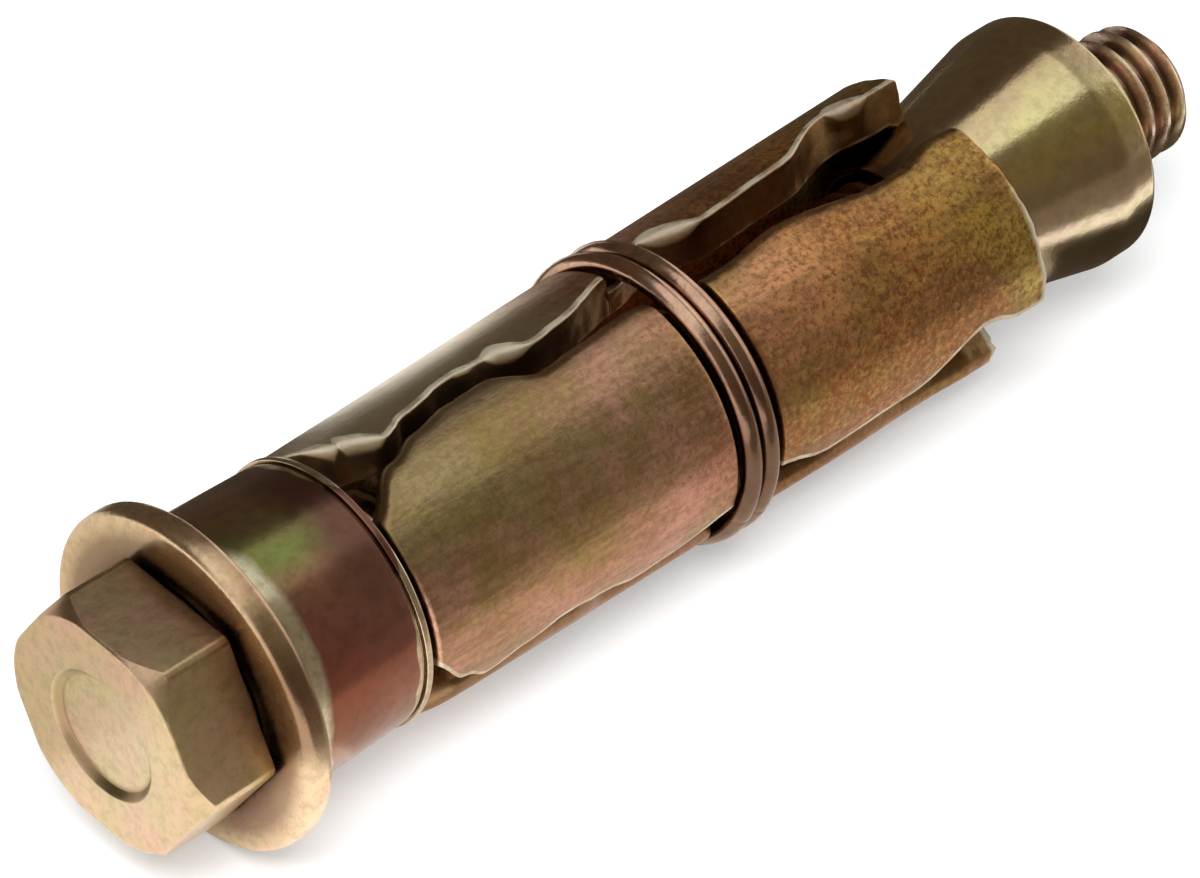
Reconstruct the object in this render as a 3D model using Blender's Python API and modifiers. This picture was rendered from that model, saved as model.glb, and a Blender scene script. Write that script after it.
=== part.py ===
"""Loose-bolt shield anchor, M6 by 55, lying on its side with the bolt along X and its head at -X.

A hex bolt passes through a washer, a ferrule and a three-segment shield into a tapered nut. Turning
the bolt draws the nut into the shield, and the nut's taper swings the segments out about their hooks
in the ferrule. A double wire ring in a groove holds the segments round the bolt.

Every x below is measured along the bolt from the ferrule's front face, in metres.
"""

import math

import bmesh
import bpy
from mathutils import Matrix, Vector

MM = 0.001

# Clearances
SEAT_GAP = 0.05 * MM  # between faces that the bolt clamps together
RUNNING_GAP = 0.30 * MM  # between pieces that slide, turn or swing past each other

# Bolt
THREAD_D = 6.0 * MM
BOLT_LENGTH = 55.0 * MM  # under the head
BOLT_POINT = 0.6 * MM  # length of the chamfer at the tip
HEAD_FLATS = 10.0 * MM
HEAD_HEIGHT = 4.0 * MM
HEAD_FACE_D = 10.2 * MM  # where the chamfer meets the head's face
HEAD_CHAMFER = math.radians(48)  # from the face
HEAD_TURN = math.radians(55.3)
DISH_D = 5.8 * MM
DISH_DEPTH = 0.30 * MM
BEARING_FACE = 0.20 * MM  # height of the round face under the head

# Washer
WASHER_D = 14.8 * MM
WASHER_THICK = 1.2 * MM
WASHER_PLAY = 0.4 * MM  # how much wider its hole is than the thread, all told
WASHER_ROUND = 0.35 * MM

# Ferrule
FERRULE_D = 11.6 * MM  # at its front
FERRULE_FLARE = 0.4 * MM  # how much wider it is at its rear
FERRULE_LENGTH = 6.0 * MM
FERRULE_WALL = 0.7 * MM
FERRULE_FLOOR = 0.9 * MM
FERRULE_ROUND = 0.45 * MM
LIP_HEIGHT = 0.12 * MM  # how far the front lip stands out of the ferrule
LIP_LENGTH = 0.33 * MM
LIP_NECK = 0.12 * MM  # width of the shallow groove behind the front lip
LIP_CATCH = 0.70 * MM  # how far the front lip turns in behind the hooks

# Shield segments
SEGMENTS = 3
SHIELD_D = 11.8 * MM
SHEET = 1.9 * MM
SHIELD_END = 34.2 * MM
SHIELD_PHASE = math.radians(34.3)  # from -Y up towards +Z, to the middle of the front segment
SHIELD_DROP = 0.20 * MM  # how far the loose shield hangs below the bolt's axis
SPREAD = math.radians(1.2)  # how far the segments already stand out, with the nut just in the mouth
SLIPS = (0.05 * MM, -0.05 * MM, 0.10 * MM)  # how far each segment has slid towards the nut
HOOK_PLAY = 0.15 * MM  # between the segments and the ferrule's lip
HOOK_WALL = 1.0 * MM
NECK_WALL = 0.7 * MM
HOOK_HALF_WIDTH = math.radians(30)
JOGGLE = 1.1 * MM
MOUTH_CHAMFER = 0.25 * MM
SHEET_ROUND = 0.55 * MM  # along the sides
END_ROUND = 0.25 * MM  # along the two ends
MOUTH_SLANT = 0.60 * MM  # how much further the mouth reaches at the lower side than in the middle
STEP_LENGTH = 0.12 * MM  # along the bolt, of each step in the pressed sheet
EDGE_WAIST = 39  # degrees from a segment's middle to its lower edge, before the mouth
EDGE_EAR = 46  # and at the mouth
FLAT_HALF_WIDTH = math.radians(10)  # of the narrow flat that a segment lies on

# Ring
WIRE_D = 0.9 * MM
RING_X = 18.0 * MM
RING_STRANDS_GAP = 0.06 * MM
RING_SEAT = 0.78 * MM  # depth of its groove in the segments
RING_PLAY = 0.20 * MM
RING_BEND_AT = math.radians(168)  # where the wire doubles back
RING_OPENING = math.radians(34)
BEND_SPREAD = 0.35 * MM  # how far the strands part before the bend
BEND_REACH = math.radians(30)

# Tapered nut
NUT_D = 11.3 * MM
NUT_SMALL_D = 7.2 * MM
NUT_TAPER_LENGTH = 9.3 * MM
NUT_COLLAR = 1.5 * MM  # from the end of the taper to the end face
NUT_SHOULDER_ROUND = 2.6 * MM
NUT_END_ROUND = 0.25 * MM

# Fineness of the turned surfaces and the sheet
ROUND_STEPS = 48
ARC_STEPS = 4
SHEET_COLUMNS = 10
COLUMNS_BELOW_FLAT = 4
STATION_PITCH = 1.3 * MM
EDGE_STEPS = 2
RING_STEPS = 44
BEND_STEPS = 6
WIRE_SIDES_RESOLUTION = 2

# Lengths and radii that follow from the sizes above
THREAD_R = THREAD_D / 2
SHIELD_R = SHIELD_D / 2
SHIELD_BORE_R = SHIELD_R - SHEET
FERRULE_REAR = -FERRULE_LENGTH
WASHER_FRONT = FERRULE_REAR - SEAT_GAP
WASHER_REAR = WASHER_FRONT - WASHER_THICK
HEAD_BEARING = WASHER_REAR - SEAT_GAP
HEAD_FACE = HEAD_BEARING - HEAD_HEIGHT
BOLT_TIP = HEAD_BEARING + BOLT_LENGTH
LIP_FRONT = LIP_NECK + LIP_LENGTH
FERRULE_BORE_R = FERRULE_D / 2 - FERRULE_WALL
LIP_BORE_R = FERRULE_BORE_R - LIP_CATCH
SEGMENT_START = LIP_FRONT + HOOK_PLAY
HOOK_FRONT = -FERRULE_WALL - RUNNING_GAP
HOOK_REAR = FERRULE_REAR + FERRULE_FLOOR + RUNNING_GAP
HOOK_R = FERRULE_BORE_R - RUNNING_GAP - SHIELD_DROP
NECK_R = LIP_BORE_R - RUNNING_GAP
NECK_BORE_R = NECK_R - NECK_WALL
HOOK_BORE_R = HOOK_R - HOOK_WALL
NUT_MOUTH_R = SHIELD_BORE_R + SHIELD_END * math.tan(SPREAD) - SHIELD_DROP - RUNNING_GAP
NUT_SLOPE = (NUT_D - NUT_SMALL_D) / 2 / NUT_TAPER_LENGTH
NUT_SMALL_END = SHIELD_END - (NUT_MOUTH_R - NUT_SMALL_D / 2) / NUT_SLOPE
NUT_SHOULDER = NUT_SMALL_END + NUT_TAPER_LENGTH
NUT_END = NUT_SHOULDER + NUT_COLLAR
GROOVE_R = SHIELD_R - RING_SEAT
GROOVE_HALF = WIRE_D + RING_STRANDS_GAP / 2 + RUNNING_GAP
RING_R = GROOVE_R + RING_X * math.tan(SPREAD) + RING_PLAY + WIRE_D / 2
LOWEST_PHASE = SHIELD_PHASE + (SEGMENTS - 1) * 2 * math.pi / SEGMENTS
FLAT_AT = 1.5 * math.pi - LOWEST_PHASE  # so that the flat of the lowest segment faces down
AXIS_HEIGHT = WASHER_D / 2
CENTRE_X = (HEAD_FACE + BOLT_TIP) / 2

# Colours of the passivated zinc, as the pieces show it
OLIVE_GOLD = (0.36, 0.26, 0.12)
COPPER_GOLD = (0.46, 0.27, 0.15)
HEAD_CREAM = (0.50, 0.42, 0.28)
WASHER_BROWN = (0.38, 0.27, 0.20)
FERRULE_PURPLE = (0.22, 0.13, 0.11)
WIRE_PURPLE = (0.20, 0.11, 0.10)
NUT_YELLOW = (0.42, 0.38, 0.17)


def clear_scene():
    for obj in list(bpy.data.objects):
        bpy.data.objects.remove(obj, do_unlink=True)


def collection(name, hidden=False):
    made = bpy.data.collections.new(name)
    made.hide_render = hidden
    bpy.context.scene.collection.children.link(made)
    return made


def plated(name, colour, roughness):
    """Zinc plate with a passivated film of this colour."""
    material = bpy.data.materials.new(name)
    material.use_nodes = True
    shader = material.node_tree.nodes["Principled BSDF"]
    shader.inputs["Base Color"].default_value = (*colour, 1)
    shader.inputs["Metallic"].default_value = 1.0
    shader.inputs["Roughness"].default_value = roughness
    return material


def add_object(name, data, group, material=None, parent=None):
    obj = bpy.data.objects.new(name, data)
    group.objects.link(obj)
    obj.parent = parent
    if material:
        data.materials.append(material)
    return obj


def add_axis(name, group, x, parent=None):
    """An empty on the bolt's axis, which carries the pieces that share it."""
    empty = bpy.data.objects.new(name, None)
    empty.empty_display_size = 5 * MM
    group.objects.link(empty)
    empty.parent = parent
    empty.location = Vector((x, 0, 0))
    return empty


def arc(centre_x, centre_r, radius, start, end, steps=ARC_STEPS):
    """Points (x, r) along an arc, with its angles measured from +x towards +r."""
    turns = [start + (end - start) * i / steps for i in range(steps + 1)]
    return [(centre_x + radius * math.cos(t), centre_r + radius * math.sin(t)) for t in turns]


def turned(name, outline, group, material, parent, closed=True):
    """A solid of revolution about X. The outline, of (x, r) points, runs from high x to low x
    along its outer side, and back along the bore if it is closed."""
    mesh = bpy.data.meshes.new(name)
    edges = [(i, i + 1) for i in range(len(outline) - 1)]
    if closed:
        edges.append((len(outline) - 1, 0))
    # The Screw turns about Z, so the profile stands in the XZ plane and the mesh is laid down after.
    mesh.from_pydata([(r, 0, x) for x, r in outline], edges, [])
    obj = add_object(name, mesh, group, material, parent)
    screw = obj.modifiers.new("Turn", "SCREW")
    screw.axis = "Z"
    screw.steps = ROUND_STEPS
    screw.render_steps = ROUND_STEPS
    screw.use_merge_vertices = True
    screw.merge_threshold = 0.000001
    screw.use_normal_calculate = True
    obj.rotation_euler = (0, math.pi / 2, 0)
    return obj


def applied(obj):
    """Turns the object's modifiers and rotation into its mesh, so that later steps see plain faces."""
    bpy.context.view_layer.update()
    graph = bpy.context.evaluated_depsgraph_get()
    mesh = bpy.data.meshes.new_from_object(obj.evaluated_get(graph))
    mesh.transform(obj.matrix_basis)
    obj.modifiers.clear()
    obj.matrix_basis = Matrix.Identity(4)
    obj.data = mesh
    return obj


def smooth(obj, angle=math.radians(35)):
    obj.data.shade_smooth()
    obj.data.set_sharp_from_angle(angle=angle)
    return obj


def make_bolt(group, cutters, axis):
    """A turned blank, whose head is then cut to a hexagon by a bar of hex stock."""
    corner_r = HEAD_FLATS / math.sqrt(3) + RUNNING_GAP
    face_r = HEAD_FACE_D / 2
    chamfer_x = HEAD_FACE + (corner_r - face_r) * math.tan(HEAD_CHAMFER)
    bearing_r = HEAD_FLATS * 0.95 / 2
    point_r = THREAD_R - BOLT_POINT
    dish_r = DISH_D / 2
    outline = [
        (BOLT_TIP, 0),
        (BOLT_TIP, point_r),
        (BOLT_TIP - BOLT_POINT, THREAD_R),
        (HEAD_BEARING, THREAD_R),
        (HEAD_BEARING, bearing_r),
        (HEAD_BEARING - BEARING_FACE, bearing_r),
        (HEAD_BEARING - BEARING_FACE, corner_r),
        (chamfer_x, corner_r),
        (HEAD_FACE, face_r),
        (HEAD_FACE, dish_r),
        (HEAD_FACE + DISH_DEPTH, dish_r - DISH_DEPTH),
        (HEAD_FACE + DISH_DEPTH, 0),
    ]
    steel = plated("bolt_passivated_zinc", HEAD_CREAM, 0.34)
    bolt = applied(turned("hex_bolt", outline, group, steel, axis, closed=False))

    stock_mesh = bpy.data.meshes.new("hex_stock")
    stock = bmesh.new()
    length = BOLT_TIP - HEAD_FACE + 4 * RUNNING_GAP
    bmesh.ops.create_cone(
        stock,
        cap_ends=True,
        segments=6,
        radius1=HEAD_FLATS / math.sqrt(3),
        radius2=HEAD_FLATS / math.sqrt(3),
        depth=length,
    )
    # A corner of the hexagon stands up at +Z once the bar lies along X, and is then turned round.
    stock.verts.ensure_lookup_table()
    corner = stock.verts[0].co
    square = Matrix.Rotation(-math.atan2(corner.y, corner.x), 4, "Z")
    lay_down = Matrix.Rotation(-math.pi / 2, 4, "Y")
    middle = Matrix.Translation(Vector((CENTRE_X, 0, 0)))
    stock.transform(middle @ radial(HEAD_TURN) @ lay_down @ square)
    stock.to_mesh(stock_mesh)
    stock.free()
    bar = add_object("hex_stock", stock_mesh, cutters, parent=axis)
    bar.hide_render = True
    bar.display_type = "WIRE"
    cut = bolt.modifiers.new("Hexagon", "BOOLEAN")
    cut.operation = "INTERSECT"
    cut.solver = "EXACT"
    cut.object = bar
    return smooth(bolt, math.radians(20))


def make_washer(group, axis):
    hole_r = (THREAD_D + WASHER_PLAY) / 2
    rim_r = WASHER_D / 2
    k = WASHER_ROUND
    outline = arc(WASHER_FRONT - k, rim_r - k, k, 0, math.pi / 2)
    outline += arc(WASHER_REAR + k, rim_r - k, k, math.pi / 2, math.pi)
    outline += [(WASHER_REAR, hole_r), (WASHER_FRONT, hole_r)]
    steel = plated("washer_passivated_zinc", WASHER_BROWN, 0.32)
    return smooth(applied(turned("washer", outline, group, steel, axis)))


def make_ferrule(group, axis):
    """A drawn cup, with a floor that the washer bears on and a lip that turns in behind the hooks."""
    outer_r = FERRULE_D / 2
    hole_r = THREAD_R + RUNNING_GAP
    k = FERRULE_ROUND
    lip_r = outer_r + LIP_HEIGHT
    groove_r = outer_r - LIP_HEIGHT
    outline = [
        (LIP_FRONT, lip_r - LIP_HEIGHT),
        (LIP_FRONT - LIP_HEIGHT, lip_r),
        (LIP_NECK, lip_r),
        (LIP_NECK, groove_r),
        (0, groove_r),
        (0, outer_r),
    ]
    outline += arc(FERRULE_REAR + k, outer_r + FERRULE_FLARE / 2 - k, k, math.pi / 2, math.pi)
    outline += [
        (FERRULE_REAR, hole_r),
        (FERRULE_REAR + FERRULE_FLOOR, hole_r),
        (FERRULE_REAR + FERRULE_FLOOR, FERRULE_BORE_R),
        (-FERRULE_WALL, FERRULE_BORE_R),
        (-FERRULE_WALL, LIP_BORE_R),
        (LIP_FRONT, LIP_BORE_R),
    ]
    steel = plated("ferrule_passivated_zinc", FERRULE_PURPLE, 0.24)
    return smooth(applied(turned("ferrule", outline, group, steel, axis)))


def make_nut(group, axis):
    """A nut whose outside is a long taper, a rounded shoulder and a short collar."""
    outer_r = NUT_D / 2
    bore_r = THREAD_R + RUNNING_GAP
    k = NUT_END_ROUND
    blend = NUT_SHOULDER_ROUND
    outline = arc(NUT_END - k, outer_r - k, k, 0, math.pi / 2)
    # The shoulder's arc is tangent to the collar and to the taper.
    taper = math.atan(NUT_SLOPE)
    shoulder_x = NUT_SHOULDER + blend * math.tan(taper / 2)
    outline += arc(shoulder_x, outer_r - blend, blend, math.pi / 2, math.pi / 2 + taper)
    outline += [
        (NUT_SMALL_END, NUT_SMALL_D / 2),
        (NUT_SMALL_END, bore_r),
        (NUT_END, bore_r),
    ]
    steel = plated("nut_passivated_zinc", NUT_YELLOW, 0.14)
    return smooth(applied(turned("expander_nut", outline, group, steel, axis)))


def between(points, x):
    """The value at x on a smooth curve through these (x, value) points, level at each of them."""
    for (x0, y0), (x1, y1) in zip(points, points[1:]):
        if x <= x1:
            share = min(max((x - x0) / (x1 - x0), 0), 1)
            return y0 + (y1 - y0) * share * share * (3 - 2 * share)
    return points[-1][1]


def sheared_edges():
    """Half widths of a segment, as two lists of (x, angle): of its upper edge and of its lower one.
    The edges are sheared so that a lobe on one segment faces a hollow on the next. Both draw in to
    a waist before the mouth, and the lower one also under the ring."""
    start = SEGMENT_START
    end = SHIELD_END
    lobed = [
        (start, 32),
        (start + 2.4 * MM, 51),
        (start + 4.2 * MM, 58),
        (start + 6.1 * MM, 62),
        (start + 8.1 * MM, 62.5),
        (start + 10.3 * MM, 51.5),
        (start + 12.4 * MM, 53),
        (RING_X - 2.2 * MM, 55),
        (RING_X, 48),
        (RING_X + 2.5 * MM, 49),
        (RING_X + 5.7 * MM, 53),
        (end - 5.0 * MM, EDGE_WAIST + 5.5),
        (end - 3.8 * MM, EDGE_WAIST + 5.5),
        (end - 1.6 * MM, EDGE_EAR + 4),
        (end, EDGE_EAR + 3),
    ]
    hollowed = [
        (start, 36),
        (start + 1.6 * MM, 52),
        (start + 3.1 * MM, 62.5),
        (start + 5.0 * MM, 57.5),
        (start + 7.2 * MM, 53.5),
        (start + 9.0 * MM, 56),
        (start + 11.2 * MM, 63),
        (start + 12.8 * MM, 61.5),
        (RING_X - 0.8 * MM, 53),
        (RING_X + 1.2 * MM, 46),
        (RING_X + 4.2 * MM, 56),
        (end - 7.4 * MM, 54),
        (end - 3.4 * MM, EDGE_WAIST),
        (end - 1.4 * MM, EDGE_EAR),
        (end, EDGE_EAR),
    ]
    return lobed, hollowed


def segment_stations():
    """Cross-sections of a segment: (x, outer radius, inner radius, half width up, half width down)."""
    lobed, hollowed = sheared_edges()
    rows = [
        (HOOK_REAR, HOOK_R, HOOK_BORE_R, HOOK_HALF_WIDTH, HOOK_HALF_WIDTH),
        (HOOK_FRONT, HOOK_R, HOOK_BORE_R, HOOK_HALF_WIDTH, HOOK_HALF_WIDTH),
        (HOOK_FRONT + STEP_LENGTH, NECK_R, NECK_BORE_R, HOOK_HALF_WIDTH, HOOK_HALF_WIDTH),
        (SEGMENT_START, NECK_R, NECK_BORE_R, HOOK_HALF_WIDTH, HOOK_HALF_WIDTH),
    ]
    first = SEGMENT_START + STEP_LENGTH
    groove_rear = RING_X - GROOVE_HALF
    groove_front = RING_X + GROOVE_HALF
    shoulder = SHIELD_R - END_ROUND
    outer = [
        (first, shoulder),
        (first + END_ROUND, SHIELD_R),
        (groove_rear - STEP_LENGTH, SHIELD_R),
        (groove_rear, GROOVE_R),
        (groove_front, GROOVE_R),
        (groove_front + STEP_LENGTH, SHIELD_R),
        (SHIELD_END - END_ROUND, SHIELD_R),
        (SHIELD_END, shoulder),
    ]
    inner = [
        (first, NECK_BORE_R),
        (first + JOGGLE, SHIELD_BORE_R),
        (SHIELD_END - MOUTH_CHAMFER, SHIELD_BORE_R),
        (SHIELD_END, SHIELD_BORE_R + MOUTH_CHAMFER),
    ]
    places = [x for x, _ in outer] + [x for x, _ in inner]
    spans = round((SHIELD_END - first) / STATION_PITCH)
    for i in range(1, spans):
        x = first + (SHIELD_END - first) * i / spans
        if min(abs(x - other) for other in places) > STATION_PITCH / 4:
            places.append(x)
    for x in sorted(set(places)):
        widths = [math.radians(between(edge, x)) for edge in (lobed, hollowed)]
        rows.append((x, between(outer, x), between(inner, x), *widths))
    return rows


def rounded_edge(outer_r, inner_r, width):
    """Points (angle, radius) round one edge of the sheet, from its outer side to its inner one."""
    k = min(SHEET_ROUND, (outer_r - inner_r) / 2 - 0.05 * MM)
    inner_k = k / 2
    points = []
    for i in range(EDGE_STEPS + 1):
        turn = math.pi / 2 * i / EDGE_STEPS
        points.append((width - k / outer_r * (1 - math.sin(turn)), outer_r - k * (1 - math.cos(turn))))
    points.append((width, inner_r + inner_k))
    points.append((width - inner_k / inner_r, inner_r))
    return points


def flattened_columns(low, high):
    """Angles across the outer side of a segment between those two, with none inside its flat."""
    flat_low, flat_high = FLAT_AT - FLAT_HALF_WIDTH, FLAT_AT + FLAT_HALF_WIDTH
    above = SHEET_COLUMNS - 1 - COLUMNS_BELOW_FLAT
    angles = [low + (flat_low - low) * i / COLUMNS_BELOW_FLAT for i in range(1, COLUMNS_BELOW_FLAT + 1)]
    return angles + [flat_high + (high - flat_high) * i / above for i in range(above)]


def even_columns(low, high):
    """Angles across the inner side of a segment between those two."""
    return [low + (high - low) * i / SHEET_COLUMNS for i in range(1, SHEET_COLUMNS)]


def sheet_section(outer_r, inner_r, up, down):
    """A closed loop of (angle, radius) round the sheet, counted up from its middle."""
    upper = rounded_edge(outer_r, inner_r, up)
    lower = [(-angle, r) for angle, r in rounded_edge(outer_r, inner_r, down)]
    outside = [(angle, outer_r) for angle in flattened_columns(lower[0][0], upper[0][0])]
    inside = [(angle, inner_r) for angle in even_columns(lower[-1][0], upper[-1][0])]
    return outside + upper + inside[::-1] + lower[::-1]


def segment_shape():
    """A curved sheet through all the cross-sections, closed at both ends."""
    shape = bmesh.new()
    rings = []
    for x, *section in segment_stations():
        slant = MOUTH_SLANT * max(0.0, x / SHIELD_END) ** 8
        loop = sheet_section(*section)
        rings.append(
            [shape.verts.new((x - slant * math.sin(t), r * math.sin(t), r * math.cos(t))) for t, r in loop]
        )
    for rear, front in zip(rings, rings[1:]):
        for i, corner in enumerate(rear):
            shape.faces.new((rear[i - 1], corner, front[i], front[i - 1]))
    shape.faces.new(rings[0])
    shape.faces.new(rings[-1][::-1])
    bmesh.ops.triangulate(shape, faces=[face for face in shape.faces if len(face.verts) > 4])
    bmesh.ops.recalc_face_normals(shape, faces=shape.faces)
    return shape


def radial(angle):
    """A turn about X that takes +Z to the direction at this angle from -Y up towards +Z, and +Y to
    the direction a quarter turn further on."""
    return Matrix.Rotation(math.pi / 2 - angle, 4, "X")


def make_segment(name, place, group, axis, mesh):
    """One pressed segment, carried by an empty on its hinge line inside the ferrule's lip."""
    angle = SHIELD_PHASE + place * 2 * math.pi / SEGMENTS
    hinge = add_axis(name + "_hinge", group, 0, axis)
    stand_out = Matrix.Rotation(-SPREAD, 4, "Y")
    hinge.matrix_local = radial(angle) @ Matrix.Translation(Vector((SLIPS[place], 0, NECK_R))) @ stand_out
    return add_object(name, mesh, group, parent=hinge)


def make_shield(group, axis):
    steel = plated("shield_passivated_zinc", COPPER_GOLD, 0.38)
    mesh = bpy.data.meshes.new("shield_segment")
    shape = segment_shape()
    shape.transform(Matrix.Translation(Vector((0, 0, -NECK_R))))
    shape.to_mesh(mesh)
    shape.free()
    mesh.materials.append(steel)
    for place in range(SEGMENTS):
        smooth(make_segment("shield_segment_%d" % (place + 1), place, group, axis, mesh))


def ring_path():
    """The wire's centreline: one strand up to the bend, round it, and back along the other strand."""
    offset = (WIRE_D + RING_STRANDS_GAP) / 2
    sweep = 2 * math.pi - RING_OPENING
    strand = []
    for i in range(RING_STEPS + 1):
        from_bend = sweep * (1 - i / RING_STEPS)
        near = max(0.0, 1 - from_bend / BEND_REACH)
        spread = BEND_SPREAD * math.sin(near * math.pi / 2) ** 2
        strand.append((offset + spread, RING_BEND_AT - from_bend))
    bend_r = offset + BEND_SPREAD
    bend = []
    for i in range(1, BEND_STEPS):
        turn = math.pi * i / BEND_STEPS
        bend.append((bend_r * math.cos(turn), RING_BEND_AT + bend_r * math.sin(turn) / RING_R))
    path = strand + bend + [(-aside, angle) for aside, angle in reversed(strand)]
    return [Vector((RING_X - s, -RING_R * math.cos(t), RING_R * math.sin(t))) for s, t in path]


def make_ring(group, axis):
    """A hoop of doubled spring wire, open behind its bend."""
    curve = bpy.data.curves.new("spring_ring", "CURVE")
    curve.dimensions = "3D"
    curve.bevel_depth = WIRE_D / 2
    curve.bevel_resolution = WIRE_SIDES_RESOLUTION
    curve.use_fill_caps = True
    path = ring_path()
    spline = curve.splines.new("POLY")
    spline.points.add(len(path) - 1)
    for point, place in zip(spline.points, path):
        point.co = (*place, 1)
    wire = plated("wire_passivated_zinc", WIRE_PURPLE, 0.26)
    return add_object("spring_ring", curve, group, wire, axis)


def main():
    clear_scene()
    group = collection("expansion_anchor_bolt")
    cutters = collection("cutters", hidden=True)
    axis = add_axis("anchor_axis", group, 0)
    make_bolt(group, cutters, axis)
    make_washer(group, axis)
    make_ferrule(group, axis)
    make_nut(group, axis)
    shield_axis = add_axis("shield_axis", group, 0, axis)
    shield_axis.location.z = -SHIELD_DROP
    make_ring(group, shield_axis)
    make_shield(group, shield_axis)
    axis.location = Vector((-CENTRE_X, 0, AXIS_HEIGHT))


main()
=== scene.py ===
"""Looks of the loose-bolt shield anchor: fine surfaces, plated finishes, a pale studio and a camera.

The bolt lies along X with its head at -X. Every x in the shapes is measured along the bolt from the
ferrule's front face, and angles round the bolt are measured from -Y up towards +Z.
"""

import math

import bmesh
import bpy
from mathutils import Matrix, Vector, noise


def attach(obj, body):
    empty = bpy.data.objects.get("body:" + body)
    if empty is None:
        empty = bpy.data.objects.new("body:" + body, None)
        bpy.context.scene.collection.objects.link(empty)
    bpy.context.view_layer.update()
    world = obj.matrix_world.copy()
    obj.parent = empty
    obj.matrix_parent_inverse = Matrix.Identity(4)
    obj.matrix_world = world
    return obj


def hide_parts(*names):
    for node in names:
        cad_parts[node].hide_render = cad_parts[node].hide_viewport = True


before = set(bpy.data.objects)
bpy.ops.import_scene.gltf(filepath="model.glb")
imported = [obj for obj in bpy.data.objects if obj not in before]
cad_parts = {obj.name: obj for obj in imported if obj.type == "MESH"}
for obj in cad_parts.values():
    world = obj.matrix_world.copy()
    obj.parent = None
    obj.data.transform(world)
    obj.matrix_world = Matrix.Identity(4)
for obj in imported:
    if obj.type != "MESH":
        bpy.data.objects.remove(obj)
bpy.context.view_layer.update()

MM = 0.001

# The part's sizes
THREAD_R = 3.0 * MM
THREAD_PITCH = 1.0 * MM
THREAD_ROOT_R = 2.42 * MM
THREAD_RUNOUT = 1.5 * MM
PLAIN_SHANK_R = 2.8 * MM
PLAIN_SHANK = 2.0 * MM
BOLT_POINT = 0.6 * MM
HEAD_FLATS = 10.0 * MM
HEAD_FACE_R = 5.1 * MM
HEAD_TURN = math.radians(55.3)
HEAD_CHAMFER = math.radians(48)
HEAD_EDGE = 0.10 * MM
HEAD_BLUNT = 0.08 * MM
DISH_R = 2.9 * MM
DISH_DEPTH = 0.30 * MM
DISH_MIDDLE_R = 0.4 * MM
BEARING_FACE = 0.20 * MM
BEARING_SHARE = 0.95
WASHER_R = 7.4 * MM
WASHER_HOLE_R = 3.2 * MM
WASHER_ROUND = 0.35 * MM
FERRULE_R = 5.8 * MM
FERRULE_REAR_R = 6.0 * MM
FERRULE_BORE_R = 5.1 * MM
FERRULE_HOLE_R = 3.3 * MM
FERRULE_REAR = -6.0 * MM
FERRULE_FLOOR = 0.9 * MM
FERRULE_WALL = 0.7 * MM
FERRULE_ROUND = 0.45 * MM
LIP_HEIGHT = 0.12 * MM
LIP_NECK = 0.12 * MM
LIP_FRONT = 0.45 * MM
LIP_BORE_R = 4.4 * MM
WASHER_FRONT = -6.05 * MM
WASHER_REAR = -7.25 * MM
HEAD_BEARING = -7.3 * MM
HEAD_FACE = -11.3 * MM
BOLT_TIP = 47.7 * MM
SHIELD_R = 5.9 * MM
SHIELD_BORE_R = 4.0 * MM
SHIELD_END = 34.2 * MM
SHIELD_PHASE = 34.3
SHIELD_DROP = 0.20 * MM
SEGMENT_START = 0.60 * MM
SPREAD = math.radians(1.2)
SLIPS = (0.05 * MM, -0.05 * MM, 0.10 * MM)
HOOK_REAR = -4.8 * MM
HOOK_FRONT = -1.0 * MM
HOOK_R = 4.6 * MM
HOOK_BORE_R = 3.6 * MM
NECK_R = 4.1 * MM
NECK_BORE_R = 3.4 * MM
HOOK_HALF_WIDTH = 30
HOOK_EDGE = 0.1 * MM
JOGGLE = 1.1 * MM
MOUTH_SLANT = 0.60 * MM
STEP_LENGTH = 0.12 * MM
END_ROUND = 0.25 * MM
GROOVE_HALF = 1.23 * MM
WIRE_R = 0.45 * MM
RING_X = 18.0 * MM
RING_R = 6.147 * MM
RING_STRAND = 0.48 * MM
RING_BEND_AT = 168.0
RING_ENDS_AT = -158.0
RING_TAIL = 16.0
BEND_SPREAD = 0.35 * MM
BEND_REACH = 62.0
NUT_R = 5.65 * MM
NUT_SMALL_R = 3.6 * MM
NUT_BORE_R = 3.3 * MM
NUT_SMALL_END = 31.40 * MM
NUT_SHOULDER = 40.70 * MM
NUT_END = 42.20 * MM
NUT_SHOULDER_ROUND = 2.6 * MM
NUT_END_ROUND = 0.25 * MM
AXIS_HEIGHT = 7.4 * MM
CENTRE_X = 18.2 * MM

# The sheet's edges. A tuple of three has a value for each segment.
INNER_ROUND = 0.25 * MM
ROLLED_EDGE = 0.80 * MM
CUT_EDGE = 0.10 * MM
PRESSED_EDGES = (0.14 * MM, 0.70 * MM, 0.14 * MM)
# How far the painted shade reaches from each segment's rolled edge across its face
ROLL_SHADE_SPANS = (0.4 * MM, 0.6 * MM, 5.0 * MM)
TEARS = (0.10 * MM, 0.15 * MM, 0.45 * MM)
MOUTH_BURR = 0.38 * MM
# Width of the painted highlight line along the sheets' outer edges
RIM_GLINT_WIDTH = 0.15 * MM

# Waves along a sheared edge: (waves per metre, seed, share), and how far they turn the edge back
EDGE_WAVES = ((900, 0, 0.5), (2600, 5, 0.25))
WAVE_ANGLE = 0.03
TEARS_PER_METRE = 1700
TEAR_ANGLE = 0.02

# One side of the ring's groove, in mm along the bolt and mm below the sheet's face
GROOVE_SIDE = (
    (-0.16, 0.0),
    (-0.08, 0.02),
    (-0.03, 0.10),
    (0.0, 0.30),
    (0.02, 0.62),
    (0.06, 0.73),
    (0.14, 0.78),
)

# The shares of half a pitch that the thread's crest and flank take
CREST_SHARE = 0.14
FLANK_SHARE = 0.66

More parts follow.
